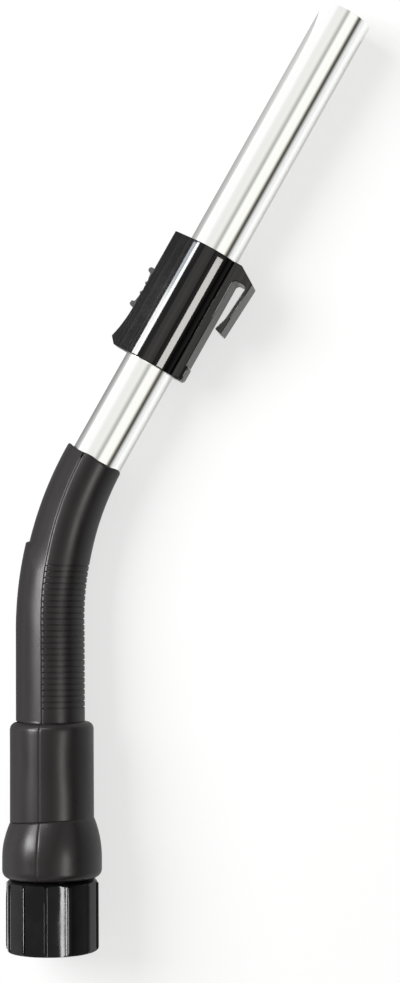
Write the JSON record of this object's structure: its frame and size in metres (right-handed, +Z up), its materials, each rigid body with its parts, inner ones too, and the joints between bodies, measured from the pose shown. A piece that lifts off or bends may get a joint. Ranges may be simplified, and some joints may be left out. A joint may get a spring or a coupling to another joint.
{
  "type": "vacuum cleaner bent handle",
  "caption": "Bent chromed tube with a soft ribbed hand grip, a swivelling hose connector and a clip-on collar that carries a suction slide and a parking hook.",
  "frame": {"origin": "bottom centre of the box round the handle as it lies on a flat surface, on the ball end, the grip by the bend and the collar", "axes": "+Z up from the surface it lies on; +Y along the straight tube in plan, towards its open end; +X towards the parking hook's side"},
  "size_m": [0.1754, 0.5944, 0.0613],
  "materials": {
    "chromed_tube": "polished",
    "soft_grip": "matte",
    "gloss_black": "gloss",
    "slide_black": "satin",
    "inner_plastic": "satin",
    "seal_rubber": "matte"
  },
  "bodies": {
    "handle": {"steel_tube": "chromed_tube", "hand_grip": "soft_grip", "swivel_sleeve": "inner_plastic", "clip_collar": "gloss_black"},
    "slide": {"thumb_slide": "slide_black", "shutter_plate": "inner_plastic"},
    "connector": {"hose_connector": "gloss_black", "retaining_ring": "inner_plastic", "seal_ring": "seal_rubber"}
  },
  "joints": [
    {"name": "suction_slide", "type": "slide", "parent": "handle", "child": "slide", "axis": [0, 1, 0.0058], "range_m": [0, 0.015]},
    {"name": "hose_swivel", "type": "hinge", "parent": "handle", "child": "connector", "pos_m": [0.04319, -0.2469, 0.03091], "axis": [-0.4958, 0.8664, -0.0595], "continuous": true}
  ]
}
